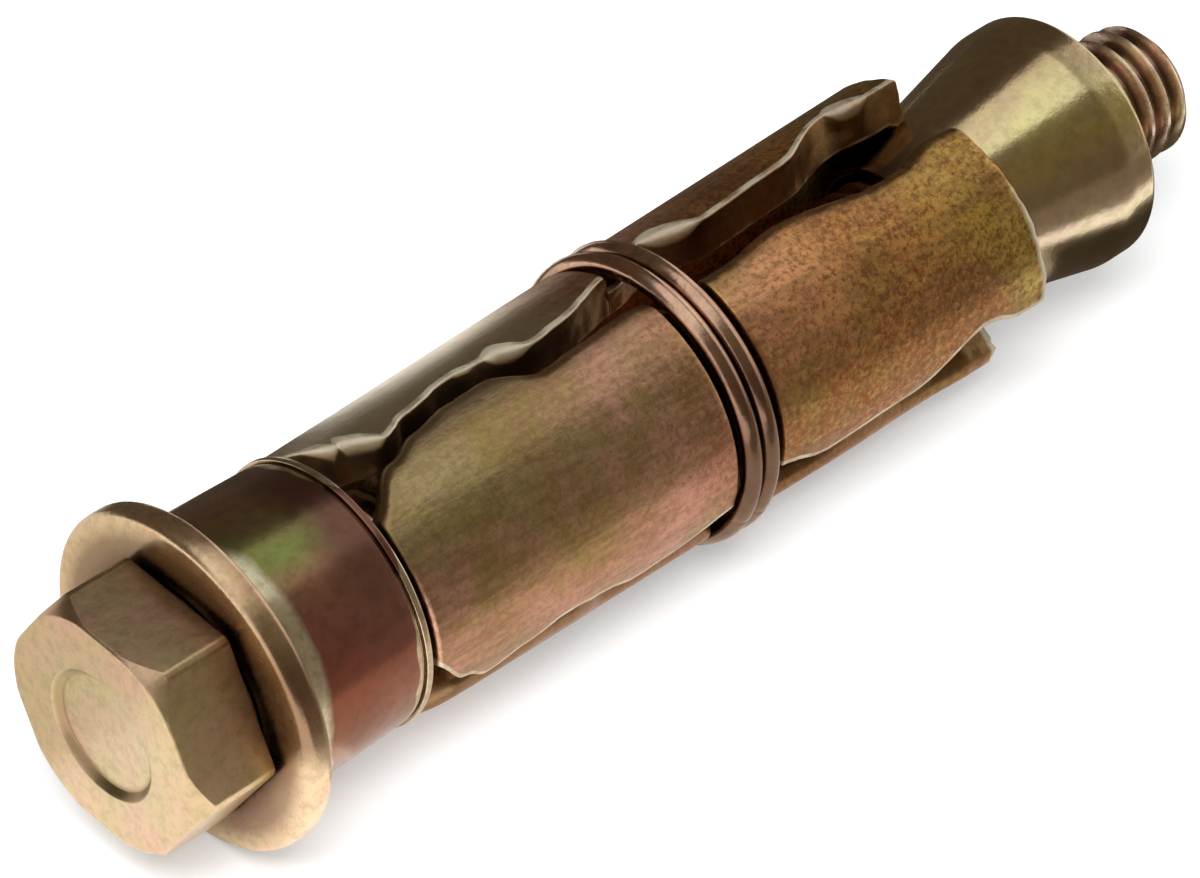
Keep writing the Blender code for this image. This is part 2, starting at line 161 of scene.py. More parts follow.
TO_WORLD = Matrix.Translation(Vector((-CENTRE_X, 0, AXIS_HEIGHT)))


def piece(name, shape, body, nodes, sharp=30):
    """A smooth-shaded mesh object that rides on this body and stands for these nodes."""
    bmesh.ops.recalc_face_normals(shape, faces=shape.faces)
    mesh = bpy.data.meshes.new(name)
    shape.to_mesh(mesh)
    shape.free()
    obj = bpy.data.objects.new(name, mesh)
    bpy.context.scene.collection.objects.link(obj)
    mesh.shade_smooth()
    mesh.set_sharp_from_angle(angle=math.radians(sharp))
    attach(obj, body)
    if nodes:
        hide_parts(*nodes)
    return obj


def filleted(corners, steps=5):
    """The closed outline through these (x, r, fillet) corners, with an arc at each of them."""
    points = []
    count = len(corners)
    for i, (x, r, fillet) in enumerate(corners):
        here = Vector((x, r))
        before = Vector(corners[i - 1][:2]) - here
        after = Vector(corners[(i + 1) % count][:2]) - here
        if fillet <= 0:
            points.append((x, r))
            continue
        turn = before.angle(after)
        reach = min(fillet / math.tan(turn / 2), before.length * 0.49, after.length * 0.49)
        start = here + before.normalized() * reach
        end = here + after.normalized() * reach
        # A quadratic curve with its ends on both sides comes within a hair of the arc.
        for k in range(steps + 1):
            u = k / steps
            point = start * (1 - u) ** 2 + here * (2 * u * (1 - u)) + end * u**2
            points.append((point.x, point.y))
    return points


def around(x, r, angle):
    """The point at x along the bolt and r from its axis, at this angle from -Y up towards +Z."""
    return Vector((x, -r * math.cos(angle), r * math.sin(angle)))


def skin(shape, rings):
    """Faces between each ring of vertices and the next one."""
    for ring, following in zip(rings, rings[1:]):
        for j in range(len(ring)):
            k = (j + 1) % len(ring)
            shape.faces.new((ring[j], ring[k], following[k], following[j]))


def lathe(outline, columns=192):
    """A solid of revolution about the bolt's axis from a closed (x, r) outline."""
    shape = bmesh.new()
    turns = [2 * math.pi * j / columns for j in range(columns)]
    rings = [[shape.verts.new(TO_WORLD @ around(x, r, t)) for t in turns] for x, r in outline]
    skin(shape, rings + rings[:1])
    return shape


def fine(outline, spacing=0.5 * MM):
    """The outline with its long sides split, so that a finish can follow them."""
    points = []
    for (x0, r0), (x1, r1) in zip(outline, outline[1:] + outline[:1]):
        parts = max(1, math.ceil(math.hypot(x1 - x0, r1 - r0) / spacing))
        for i in range(parts):
            points.append((x0 + (x1 - x0) * i / parts, r0 + (r1 - r0) * i / parts))
    return points


def make_washer():
    k = WASHER_ROUND
    corners = [
        (WASHER_FRONT, WASHER_R, k),
        (WASHER_REAR, WASHER_R, k * 1.25),
        (WASHER_REAR, WASHER_HOLE_R, 0.08 * MM),
        (WASHER_FRONT, WASHER_HOLE_R, 0.08 * MM),
    ]
    shape = lathe(fine(filleted(corners, 7)))
    return piece("washer_plate", shape, "washer", ["washer"])


def make_ferrule():
    lip_r = FERRULE_R + LIP_HEIGHT
    groove_r = FERRULE_R - LIP_HEIGHT
    soft = 0.05 * MM
    corners = [
        (LIP_FRONT, LIP_BORE_R, soft),
        (LIP_FRONT, lip_r, LIP_HEIGHT),
        (LIP_NECK, lip_r, soft),
        (LIP_NECK, groove_r, 0.03 * MM),
        (0, groove_r, 0.03 * MM),
        (0, FERRULE_R, soft),
        (FERRULE_REAR, FERRULE_REAR_R, FERRULE_ROUND),
        (FERRULE_REAR, FERRULE_HOLE_R, soft),
        (FERRULE_REAR + FERRULE_FLOOR, FERRULE_HOLE_R, soft),
        (FERRULE_REAR + FERRULE_FLOOR, FERRULE_BORE_R, soft),
        (-FERRULE_WALL, FERRULE_BORE_R, soft),
        (-FERRULE_WALL, LIP_BORE_R, soft),
    ]
    shape = lathe(fine(filleted(corners, 6)))
    return piece("ferrule_cup", shape, "ferrule", ["ferrule"])


def make_nut():
    rim = 0.15 * MM
    corners = [
        (NUT_END, NUT_R, NUT_END_ROUND),
        (NUT_SHOULDER, NUT_R, NUT_SHOULDER_ROUND),
        (NUT_SMALL_END, NUT_SMALL_R, rim),
        (NUT_SMALL_END, NUT_BORE_R, 0.05 * MM),
        (NUT_END, NUT_BORE_R, 0.05 * MM),
    ]
    shape = lathe(fine(filleted(corners, 14)), 240)
    return piece("nut_taper", shape, "nut", ["expander_nut"])


def hex_columns():
    """Angles round the head, close together at its corners."""
    offsets = [0, 0.5, 1.0, 1.6, 2.4, 3.6, 5.5, 8, 11, 14.5, 18.5, 23]
    turns = []
    for corner in range(6):
        base = corner * 60
        turns += [base + o for o in offsets] + [base + 30]
        turns += [base + 60 - o for o in reversed(offsets[1:])]
    return [math.radians(t) for t in turns]


def hex_radius(turn):
    """How far the hexagon with its blunted corners is from the axis, at this angle from a corner."""
    apothem = HEAD_FLATS / 2
    aside = abs((turn + math.pi / 6) % (math.pi / 3) - math.pi / 6)
    blunt = apothem / math.cos(math.pi / 6) - HEAD_BLUNT
    return min(apothem / math.cos(math.pi / 6 - aside), blunt)


def make_head():
    """The forged head: a flat face with a shallow dish, a chamfer, six flats and a bearing face."""
    shape = bmesh.new()
    rings = []
    for turn in hex_columns():
        across = hex_radius(turn)
        face_r = min(HEAD_FACE_R, across - HEAD_EDGE)
        rise = (across - HEAD_FACE_R) * math.tan(HEAD_CHAMFER)
        corner_x = HEAD_FACE + max(HEAD_EDGE, rise + HEAD_EDGE)
        bearing_r = HEAD_FLATS * BEARING_SHARE / 2
        profile = [
            (HEAD_FACE + DISH_DEPTH, DISH_MIDDLE_R, 0),
            (HEAD_FACE + DISH_DEPTH, DISH_R - DISH_DEPTH, 0.12 * MM),
            (HEAD_FACE, DISH_R, 0.12 * MM),
            (HEAD_FACE, face_r, 0.25 * MM),
            (corner_x, across, 0.15 * MM),
            (HEAD_BEARING - BEARING_FACE, across, 0.10 * MM),
            (HEAD_BEARING - BEARING_FACE, bearing_r, 0.05 * MM),
            (HEAD_BEARING, bearing_r, 0.05 * MM),
            (HEAD_BEARING, THREAD_R * 0.9, 0),
        ]
        line = filleted(profile, 4)
        rings.append([shape.verts.new(TO_WORLD @ around(x, r, HEAD_TURN + turn)) for x, r in line])
    rows = len(rings[0])
    for ring, following in zip(rings, rings[1:] + rings[:1]):
        for i in range(rows - 1):
            shape.faces.new((ring[i], ring[i + 1], following[i + 1], following[i]))
    shape.faces.new([ring[0] for ring in rings])
    shape.faces.new([ring[-1] for ring in rings])
    return piece("bolt_head", shape, "bolt", ["hex_bolt"], 24)


def thread_radius(phase):
    """Height of the rolled thread at this share of a pitch: a flat crest, 60 degree flanks, round root."""
    away = abs(phase % 1 - 0.5) * 2
    rise = min(max((away - CREST_SHARE) / FLANK_SHARE, 0), 1)
    return THREAD_R - (THREAD_R - THREAD_ROOT_R) * (rise * rise * (3 - 2 * rise))


def make_shank():
    """The threaded shank, as a grid that follows the helix, cut square at both ends."""
    columns = 72
    rows_per_pitch = 12
    start = HEAD_BEARING - BEARING_FACE
    rows = math.ceil((BOLT_TIP - start) / THREAD_PITCH + 2) * rows_per_pitch
    plain_end = HEAD_BEARING + PLAIN_SHANK
    shape = bmesh.new()
    grid = []
    for i in range(rows + 1):
        row = []
        for j in range(columns):
            turn = j / columns
            x = start + (i / rows_per_pitch - 1 + turn) * THREAD_PITCH
            r = thread_radius(i / rows_per_pitch)
            fade = min(max((x - plain_end) / THREAD_RUNOUT, 0), 1)
            r = PLAIN_SHANK_R + (r - PLAIN_SHANK_R) * fade
            r = min(r, THREAD_R - (x - (BOLT_TIP - BOLT_POINT)))
            row.append(shape.verts.new(around(x, r, 2 * math.pi * turn)))
        grid.append(row)
    for i in range(rows):
        for j in range(columns - 1):
            shape.faces.new((grid[i][j], grid[i][j + 1], grid[i + 1][j + 1], grid[i + 1][j]))
        if i + 1 + rows_per_pitch <= rows:
            j = columns - 1
            k = i + rows_per_pitch
            shape.faces.new((grid[i][j], grid[k][0], grid[k + 1][0], grid[i + 1][j]))
    for x, side in ((start, -1), (BOLT_TIP, 1)):
        cut = bmesh.ops.bisect_plane(
            shape,
            geom=shape.verts[:] + shape.edges[:] + shape.faces[:],
            dist=1e-7,
            plane_co=(x, 0, 0),
            plane_no=(side, 0, 0),
            clear_outer=True,
        )
        edges = [part for part in cut["geom_cut"] if isinstance(part, bmesh.types.BMEdge)]
        bmesh.ops.holes_fill(shape, edges=[edge for edge in edges if edge.is_boundary], sides=0)
    shape.transform(TO_WORLD)
    return piece("bolt_shank", shape, "bolt", ["hex_bolt"], 50)


def stretch(points, x):
    """The values on both sides of x in these (x, value) points, and x's share of the way."""
    for (x0, y0), (x1, y1) in zip(points, points[1:]):
        if x <= x1:
            return y0, y1, min(max((x - x0) / (x1 - x0), 0), 1)
    return points[-1][1], points[-1][1], 0


def straight(points, x):
    """The value at x on straight lines through these (x, value) points."""
    y0, y1, share = stretch(points, x)
    return y0 + (y1 - y0) * share


def between(points, x):
    """The value at x on a smooth curve through these (x, value) points, level at each of them."""
    y0, y1, share = stretch(points, x)
    return y0 + (y1 - y0) * share * share * (3 - 2 * share)


START = SEGMENT_START
END = SHIELD_END
LOBED = [
    (START, 32),
    (START + 2.4 * MM, 51),
    (START + 4.2 * MM, 58),
    (START + 6.1 * MM, 62),
    (START + 8.1 * MM, 62.5),
    (START + 10.3 * MM, 51.5),
    (START + 12.4 * MM, 53),
    (RING_X - 2.2 * MM, 55),
    (RING_X, 48),
    (RING_X + 2.5 * MM, 49),
    (RING_X + 5.7 * MM, 53),
    (END - 5.0 * MM, 44.5),
    (END - 3.8 * MM, 44.5),
    (END - 1.6 * MM, 50),
    (END, 49),
]
HOLLOWED = [
    (START, 36),
    (START + 1.6 * MM, 52),
    (START + 3.1 * MM, 62.5),
    (START + 5.0 * MM, 57.5),
    (START + 7.2 * MM, 53.5),
    (START + 9.0 * MM, 56),
    (START + 11.2 * MM, 63),
    (START + 12.8 * MM, 61.5),
    (RING_X - 0.8 * MM, 53),
    (RING_X + 1.2 * MM, 46),
    (RING_X + 4.2 * MM, 56),
    (END - 7.4 * MM, 54),
    (END - 3.4 * MM, 39),
    (END - 1.4 * MM, 46),
    (END, 46),
]


def segment_rows():
    """Cross-sections of a segment: (x, outer radius, inner radius, half width up, half width down)."""
    wide = (HOOK_HALF_WIDTH, HOOK_HALF_WIDTH)
    narrow = (HOOK_HALF_WIDTH - 1, HOOK_HALF_WIDTH - 1)
    rows = [
        (HOOK_REAR, HOOK_R - HOOK_EDGE, HOOK_BORE_R + HOOK_EDGE, *narrow),
        (HOOK_REAR + HOOK_EDGE, HOOK_R, HOOK_BORE_R, *wide),
        (HOOK_FRONT, HOOK_R, HOOK_BORE_R, *wide),
        (HOOK_FRONT + STEP_LENGTH, NECK_R, NECK_BORE_R, *wide),
        (SEGMENT_START, NECK_R, NECK_BORE_R, *wide),
    ]
    first = SEGMENT_START + STEP_LENGTH
    outer = [(first, SHIELD_R - END_ROUND)]
    for i in range(1, 6):
        a = math.pi / 2 * i / 5
        outer.append((first + END_ROUND * (1 - math.cos(a)), SHIELD_R - END_ROUND * (1 - math.sin(a))))
    outer += [(RING_X - GROOVE_HALF + s * MM, SHIELD_R - d * MM) for s, d in GROOVE_SIDE]
    outer += [(RING_X + GROOVE_HALF - s * MM, SHIELD_R - d * MM) for s, d in reversed(GROOVE_SIDE)]
    for i in range(6):
        a = math.pi / 2 * i / 5
        outer.append((END - END_ROUND * (1 - math.sin(a)), SHIELD_R - END_ROUND * (1 - math.cos(a))))
    inner = [
        (first, NECK_BORE_R),
        (first + JOGGLE, SHIELD_BORE_R),
        (END - 0.8 * MM, SHIELD_BORE_R),
        (END - 0.2 * MM, SHIELD_BORE_R - MOUTH_BURR),
        (END, SHIELD_BORE_R - MOUTH_BURR),
    ]
    places = [x for x, _ in outer] + [x for x, _ in inner]
    spans = 130
    for i in range(1, spans):
        x = first + (END - first) * i / spans
        if min(abs(x - other) for other in places) > 0.08 * MM:
            places.append(x)
    for x in sorted(set(places)):
        radii = [straight(curve, x) for curve in (outer, inner)]
        widths = [between(edge, x) for edge in (LOBED, HOLLOWED)]
        rows.append((x, *radii, *widths))
    return rows


def sheet_edge(outer_r, inner_r, width, x, ragged, corner):
    """Points (angle, radius, sheared share) round one edge of the sheet, from its outer side in."""
    wave = sum(noise.noise(Vector((x * often, ragged, seed))) * share for often, seed, share in EDGE_WAVES)
    angle = math.radians(width) - abs(wave) * WAVE_ANGLE
    k = min(corner, (outer_r - inner_r) / 2 - 0.05 * MM)
    inner_k = min(INNER_ROUND, (outer_r - inner_r) / 4)
    points = []
    for i in range(9):
        turn = math.pi / 2 * i / 8
        away = k / outer_r * (1 - math.sin(turn))
        points.append((angle - away, outer_r - k * (1 - math.cos(turn)), i / 8))
    for i in range(1, 5):
        r = outer_r - k + (inner_r + inner_k - outer_r + k) * i / 4
        spot = Vector((x * TEARS_PER_METRE, r * TEARS_PER_METRE, ragged))
        tear = abs(noise.noise(spot)) * TEAR_ANGLE * min(i, 2)
        points.append((angle - tear, r, 1))
    for i in range(1, 4):
        turn = math.pi / 2 * i / 3
        away = inner_k / inner_r * (1 - math.cos(turn))
        points.append((angle - away, inner_r + inner_k * (1 - math.sin(turn)), 1 - i / 3))
    return points


def pressed_corner(x, most):
    """How far the lower edge is rounded at x: most where the sheet widens towards the nut."""
    step = 0.1 * MM
    rise = math.radians(between(HOLLOWED, x + step) - between(HOLLOWED, x - step)) * SHIELD_R / (2 * step)
    steep = min(max((rise - 0.15) / 0.35, 0), 1)
    return CUT_EDGE + (most - CUT_EDGE) * steep * min(max((x / MM - 1.2) / 0.8, 0), 1)


def section(place, x, outer_r, inner_r, up, down, columns=56):
    """Points round a cross-section of a segment: (angle, radius, rolled, cut and rim-glint shares).
    The finish paints shade by the rolled share, light and shade on the cut faces, and a highlight by the
    rim-glint share.
    """
    upper = sheet_edge(outer_r, inner_r, up, x, 10 + place, ROLLED_EDGE)
    corner = pressed_corner(x, PRESSED_EDGES[place])
    lower = [(-a, r, s) for a, r, s in sheet_edge(outer_r, inner_r, down, x, 30 + place, corner)]
    low, high = lower[0][0], upper[0][0]
    rim = RIM_GLINT_WIDTH / outer_r
    deepest = 1 if place == 2 else 0.5
    loop = [(low + rim, outer_r, 0, 0, 1), (low + rim * 1.5, outer_r, 0, 0, 0)]
    for i in range(2, columns):
        t = low + (high - low) * i / columns
        # Painted shade that fades away from the rolled edge, deepest on the bottom segment
        rolled_shade = max(0.0, 1 - (high - t) * outer_r / ROLL_SHADE_SPANS[place]) * deepest
        loop.append((t, outer_r, rolled_shade, 0, 0))
    loop += [(a, r, 0.5 + s / 2, 0, 0) for a, r, s in upper]
    for i in range(1, columns):
        share = i / columns
        loop.append((upper[-1][0] + (lower[-1][0] - upper[-1][0]) * share, upper[-1][1], 0, 0, 0))
    loop += [(a, r, 0, s, 1 - s) for a, r, s in reversed(lower)]
    return loop


def make_segments():
    made = []
    for place in range(3):
        shape = bmesh.new()
        layers = [shape.verts.layers.float.new(name) for name in ("rolled", "cut", "rim_glint", "end")]
        rings = []
        for x, *sizes in segment_rows():
            mouth = max(0.0, x / END)
            ring = []
            for t, r, *shares in section(place, x, *sizes):
                tear = noise.noise(Vector((t * 9, r * 3000, place * 5))) * TEARS[place] * mouth**40
                along = x + tear - MOUTH_SLANT * mouth**8 * math.sin(t)
                vert = shape.verts.new((along, r * math.sin(t), r * math.cos(t) - NECK_R))
                for layer, share in zip(layers, (*shares, mouth**60)):
                    vert[layer] = share
                ring.append(vert)
            rings.append(ring)
        for rear, front in zip(rings, rings[1:]):
            for i in range(len(rear)):
                shape.faces.new((rear[i - 1], rear[i], front[i], front[i - 1]))
        shape.faces.new(rings[0])
        shape.faces.new(rings[-1][::-1])
        bmesh.ops.triangulate(shape, faces=[face for face in shape.faces if len(face.verts) > 4])
        angle = math.radians(SHIELD_PHASE + 120 * place)
        stand = (
            TO_WORLD
            @ Matrix.Translation(Vector((0, 0, -SHIELD_DROP)))
            @ Matrix.Rotation(math.pi / 2 - angle, 4, "X")
            @ Matrix.Translation(Vector((SLIPS[place], 0, NECK_R)))
            @ Matrix.Rotation(-SPREAD, 4, "Y")
        )
        shape.transform(stand)
        body = "segment_%d" % (place + 1)
        made.append(piece("sheet_%d" % (place + 1), shape, body, ["shield_" + body], 35))
    return made


def tube(shape, path, radii, sides=20):
    """A round wire along this path of points, with domed ends."""
    rings = []
    count = len(path)
    for i, point in enumerate(path):
        along = (path[min(i + 1, count - 1)] - path[max(i - 1, 0)]).normalized()
        out = Vector((0, point.y, point.z)).normalized()
        out = (out - along * out.dot(along)).normalized()
        side = along.cross(out)
        ring = []
        for j in range(sides):
            t = 2 * math.pi * j / sides
            ring.append(shape.verts.new(point + (out * math.cos(t) + side * math.sin(t)) * radii[i]))
        rings.append(ring)
    skin(shape, rings)
    shape.faces.new(rings[0])
    shape.faces.new(rings[-1])


def strand_point(aside, degrees):
    return around(RING_X - aside, RING_R, math.radians(degrees))


def strand_aside(degrees):
    """How far a strand lies beside the ring's middle: a little further next to the bend."""
    near = max(0.0, 1 - (RING_BEND_AT - degrees) / BEND_REACH) if degrees <= RING_BEND_AT else 0.0
    return RING_STRAND + BEND_SPREAD * math.sin(near * math.pi / 2) ** 2


def run_end(tail):
    """The end of a run: (degrees past the run, share of the wire's radius). A tail is thinner wire."""
    if tail:
        return [(0.05, 0.965), (tail - 0.6, 0.95), (tail, 0.5)]
    return [(0.35, 0.88), (0.6, 0.6)]


def wire_run(shape, start, end, tail_start, tail_end):
    """Both strands of the ring from one angle to another, with thinner tails that go on inside the
    next run's wire and bridge most of the space when the segments carry the runs apart."""
    steps = max(2, round((end - start) / 3))
    places = [(start - past, share) for past, share in reversed(run_end(tail_start))]
    places += [(start + (end - start) * i / steps, 1) for i in range(steps + 1)]
    places += [(end + past, share) for past, share in run_end(tail_end)]
    for side in (1, -1):
        path = [strand_point(side * strand_aside(a), a) for a, _ in places]
        tube(shape, path, [WIRE_R * share for _, share in places])


def bent_strand(shape, start, steps=28, turns=16):
    """The wire from this angle to the bend, round it, and back along the other strand."""
    strand = []
    for i in range(steps + 1):
        degrees = start + (RING_BEND_AT - start) * i / steps
        strand.append((strand_aside(degrees), degrees))
    bend_r = strand[-1][0]
    bend = []
    for i in range(1, turns):
        turn = math.pi * i / turns
        past = math.degrees(bend_r * math.sin(turn) / RING_R)
        bend.append((bend_r * math.cos(turn), RING_BEND_AT + past))
    back = [(-aside, degrees) for aside, degrees in reversed(strand)]
    path = [strand_point(aside, degrees) for aside, degrees in strand + bend + back]
    tube(shape, path, [WIRE_R] * len(path))


def make_ring():
    """The doubled spring wire as three runs, each carried by the segment that it lies on."""
    front, top, bottom = SHIELD_PHASE - 60, SHIELD_PHASE + 60, SHIELD_PHASE - 180
    shapes = [bmesh.new() for _ in range(3)]
    wire_run(shapes[0], front, top, RING_TAIL, RING_TAIL)
    bent_strand(shapes[1], top)
    wire_run(shapes[1], RING_ENDS_AT, bottom, 0, RING_TAIL)
    wire_run(shapes[2], bottom, front, 0, 0)
    made = []
    for number, shape in enumerate(shapes, 1):
        shape.transform(TO_WORLD @ Matrix.Translation(Vector((0, 0, -SHIELD_DROP))))
        body = "segment_%d" % number
        made.append(piece("ring_run_%d" % number, shape, body, ["spring_ring"], 60))
    return made


washer = make_washer()
ferrule = make_ferrule()
nut = make_nut()
head = make_head()
shank = make_shank()
sheets = make_segments()
runs = make_ring()


# Finishes

RELIEF_DEPTH = 0.00005
# How far the painted shade in corners and between parts reaches
PAINTED_SHADE_REACH = 0.0016


class Finish:
    """A plated steel, built up node by node."""

    def __init__(self, name):
        self.material = bpy.data.materials.new(name)
        self.material.use_nodes = True
        self.tree = self.material.node_tree
        self.shader = self.tree.nodes["Principled BSDF"]
        self.shader.inputs["Metallic"].default_value = 1.0
        self.place = self.node("ShaderNodeTexCoord").outputs["Object"]
        axes = self.node("ShaderNodeSeparateXYZ")
        self.link(self.place, axes.inputs[0])
        self.x = self.sum(axes.outputs[0], CENTRE_X)
        front = self.scaled(axes.outputs[1], -1)
        height = self.sum(axes.outputs[2], -AXIS_HEIGHT)
        self.round = self.math("ARCTAN2", height, front)
        self.off_axis = self.math("SQRT", self.sum(self.scaled(front, front), self.scaled(height, height)))

    def node(self, kind):
        return self.tree.nodes.new(kind)

    def link(self, output, socket):
        self.tree.links.new(output, socket)

    def put(self, value, socket):
        if isinstance(value, bpy.types.NodeSocket):
            self.link(value, socket)
        else:
            socket.default_value = value

    def math(self, operation, a, b=0.0, clamp=False):
        node = self.node("ShaderNodeMath")
        node.operation = operation
        node.use_clamp = clamp
        self.put(a, node.inputs[0])
        self.put(b, node.inputs[1])
        return node.outputs[0]

    def sum(self, a, b):
        return self.math("ADD", a, b)

    def scaled(self, a, b):
        return self.math("MULTIPLY", a, b)

    def noise(self, size, detail=3.0, rough=0.5, stretch=(1, 1, 1), warp=0.0, seed=0.0):
        """Noise from 0 to 1 whose blots are about this many metres across."""
        mapped = self.node("ShaderNodeMapping")
        mapped.inputs["Location"].default_value = (seed, seed * 0.7, seed * 1.3)
        mapped.inputs["Scale"].default_value = tuple(s / size for s in stretch)
        self.link(self.place, mapped.inputs["Vector"])
        node = self.node("ShaderNodeTexNoise")
        node.inputs["Scale"].default_value = 1.0
        node.inputs["Detail"].default_value = detail
        node.inputs["Roughness"].default_value = rough
        node.inputs["Distortion"].default_value = warp
        self.link(mapped.outputs[0], node.inputs["Vector"])
        return node.outputs["Fac"]

    def ramp(self, value, stops, ease="LINEAR"):
        """A colour or a number that goes through these (place, value) stops, with places from 0 to 1."""
        node = self.node("ShaderNodeValToRGB")
        node.color_ramp.interpolation = ease
        elements = node.color_ramp.elements
        while len(elements) < len(stops):
            elements.new(0.5)
        for element, (where, _) in zip(elements, stops):
            element.position = where
        for element, (_, colour) in zip(elements, stops):
            element.color = (*colour, 1) if isinstance(colour, tuple) else (colour, colour, colour, 1)
        self.put(value, node.inputs[0])
        return node.outputs[0]

    def span(self, value, low, high):
        """The value's share of the way from low to high, held within 0 and 1."""
        node = self.node("ShaderNodeMapRange")
        self.put(value, node.inputs["Value"])
        node.inputs["From Min"].default_value = low
        node.inputs["From Max"].default_value = high
        return node.outputs["Result"]

    def mix(self, share, a, b, kind="MIX"):
        node = self.node("ShaderNodeMix")
        node.data_type = "RGBA"
        node.blend_type = kind
        node.clamp_factor = True
        self.put(share, node.inputs[0])
        for value, socket in ((a, node.inputs[6]), (b, node.inputs[7])):
            self.put((*value, 1) if isinstance(value, tuple) else value, socket)
        return node.outputs[2]

    def wander(self, size, amount_x, amount_degrees, seed=0.0):
        """Lets the painted bands stray along and round the bolt."""
        shift = self.sum(self.noise(size, 2.0, 0.5, seed=seed), -0.5)
        self.x = self.sum(self.x, self.scaled(shift, amount_x))
        other = self.sum(self.noise(size, 2.0, 0.5, seed=seed + 7.3), -0.5)
        self.wander_round = self.sum(self.round, self.scaled(other, math.radians(amount_degrees)))

    def turn_share(self):
        """Where a point is round the bolt, from 0 to 1, with the bands' straying."""
        return self.sum(self.scaled(self.wander_round, 0.5 / math.pi), 0.5)

    def attribute(self, name):
        node = self.node("ShaderNodeAttribute")
        node.attribute_name = name
        return node.outputs["Fac"]

    def relief(self, height, strength, distance, under=None):
        node = self.node("ShaderNodeBump")
        node.inputs["Strength"].default_value = strength
        node.inputs["Distance"].default_value = distance
        self.link(height, node.inputs["Height"])
        if under is not None:
            self.link(under, node.inputs["Normal"])
        return node.outputs[0]

    def closeness(self, reach, strength):
        """1 deep in a corner between faces, and 0 on an open face."""
        node = self.node("ShaderNodeAmbientOcclusion")
        node.samples = 4
        node.inputs["Distance"].default_value = reach
        return self.ramp(node.outputs["AO"], [(0.25, strength), (0.75, 0.0)])

    def done(self, colour, roughness, normal=None, corner_shade=0.75):
        # Painted shade: the colour is darkened in corners and between parts by ambient occlusion
        dark = self.mix(0.85, colour, (0.10, 0.055, 0.03), "MULTIPLY")
        colour = self.mix(self.closeness(PAINTED_SHADE_REACH, corner_shade), colour, dark)
        self.link(colour, self.shader.inputs["Base Color"])
        self.put(roughness, self.shader.inputs["Roughness"])
        if normal is not None:
            self.link(normal, self.shader.inputs["Normal"])
        return self.material


def dress(obj, material):
    obj.data.materials.clear()
    obj.data.materials.append(material)


def shield_finish():
    f = Finish("shield_passivated")
    f.wander(0.006, 0.005, 22, 1.0)
    along = f.span(f.x, 0, SHIELD_END)
    upper = f.ramp(along, SHIELD_UPPER)
    lower = f.ramp(along, SHIELD_LOWER)
    facing = f.math("COSINE", f.sum(f.wander_round, math.radians(40)))
    base = f.mix(f.span(facing, 0.15, 0.75), upper, lower)
    pink = f.ramp(f.noise(0.0035, 4.0, 0.6, seed=3.0), [(0.45, 0.0), (0.60, 1.0)])
    pink = f.scaled(pink, f.ramp(along, [(0.44, 0.65), (0.60, 0.1)]))
    base = f.mix(pink, base, (0.80, 0.42, 0.33))
    olive = f.ramp(f.noise(0.0045, 4.0, 0.6, seed=9.0), [(0.48, 0.0), (0.64, 1.0)])
    base = f.mix(f.scaled(olive, 0.6), base, (0.40, 0.32, 0.09))
    russet = f.ramp(f.noise(0.0055, 4.0, 0.6, seed=21.0), [(0.44, 0.0), (0.60, 0.75)])
    base = f.mix(f.scaled(russet, f.ramp(along, [(0.5, 0.2), (0.65, 1.0)])), base, (0.42, 0.15, 0.07))
    speckle = f.noise(0.00028, 3.0, 0.75, seed=2.0)
    mouthward = f.ramp(along, [(0.3, 0.35), (0.75, 1.0)])
    base = f.mix(f.scaled(f.ramp(speckle, [(0.36, 0.8), (0.52, 0.0)]), mouthward), base, (0.20, 0.09, 0.03))
    base = f.mix(f.scaled(f.ramp(speckle, [(0.52, 0.0), (0.68, 0.6)]), mouthward), base, (0.84, 0.54, 0.18))
    brushed = f.noise(0.0007, 4.0, 0.65, (0.3, 2.0, 2.0), 0.0, 4.0)
    base = f.mix(f.ramp(brushed, [(0.40, 0.4), (0.55, 0.0)]), base, (0.30, 0.18, 0.08))
    rolled = f.attribute("rolled")
    cut = f.attribute("cut")
    # Painted highlight: a pale sheen along the upper back of the sheets, near their rear
    painted_sheen = f.span(f.math("COSINE", f.sum(f.round, math.radians(-135))), 0.55, 0.95)
    painted_sheen = f.scaled(painted_sheen, f.ramp(along, [(0.30, 0.8), (0.46, 0.0)]))
    base = f.mix(painted_sheen, base, (0.95, 0.84, 0.62))
    # Painted shade along the rolled edges, wider and deeper on the bottom segment next to the front one
    base = f.mix(f.scaled(rolled, 0.8), base, (0.22, 0.13, 0.065))
    # Painted light and shade on the cut faces: a pale highlight near the rear, dark shade towards the mouth
    cut_face_light_and_shade = f.ramp(along, [(0.54, (0.80, 0.62, 0.42)), (0.62, (0.26, 0.15, 0.08))])
    base = f.mix(f.scaled(cut, 0.8), base, cut_face_light_and_shade)
    # Painted highlight: a pale, broken line along the sheets' outer edges
    broken = f.ramp(f.noise(0.0012, 3.0, 0.6, seed=6.0), [(0.38, 0.5), (0.55, 1.0)])
    rim_glint = f.scaled(f.attribute("rim_glint"), broken)
    base = f.mix(rim_glint, base, (0.97, 0.90, 0.72))
    # Painted highlight: a pale line round the mouth's end, low on its front side
    mouth_glint_side = f.span(f.math("COSINE", f.sum(f.round, math.radians(10))), 0.55, 0.85)
    end = f.scaled(f.ramp(f.attribute("end"), [(0.50, 0.0), (0.70, 1.0)]), mouth_glint_side)
    base = f.mix(end, base, (0.98, 0.92, 0.74))
    rough = f.sum(f.scaled(f.noise(0.0009, 3.0, 0.6, seed=5.0), 0.22), 0.22)
    rough = f.sum(rough, f.scaled(f.math("MAXIMUM", rim_glint, end), 0.35))
    normal = f.relief(speckle, 0.3, RELIEF_DEPTH)
    normal = f.relief(brushed, 0.25, RELIEF_DEPTH, normal)
    return f.done(base, rough, normal, 0.45)


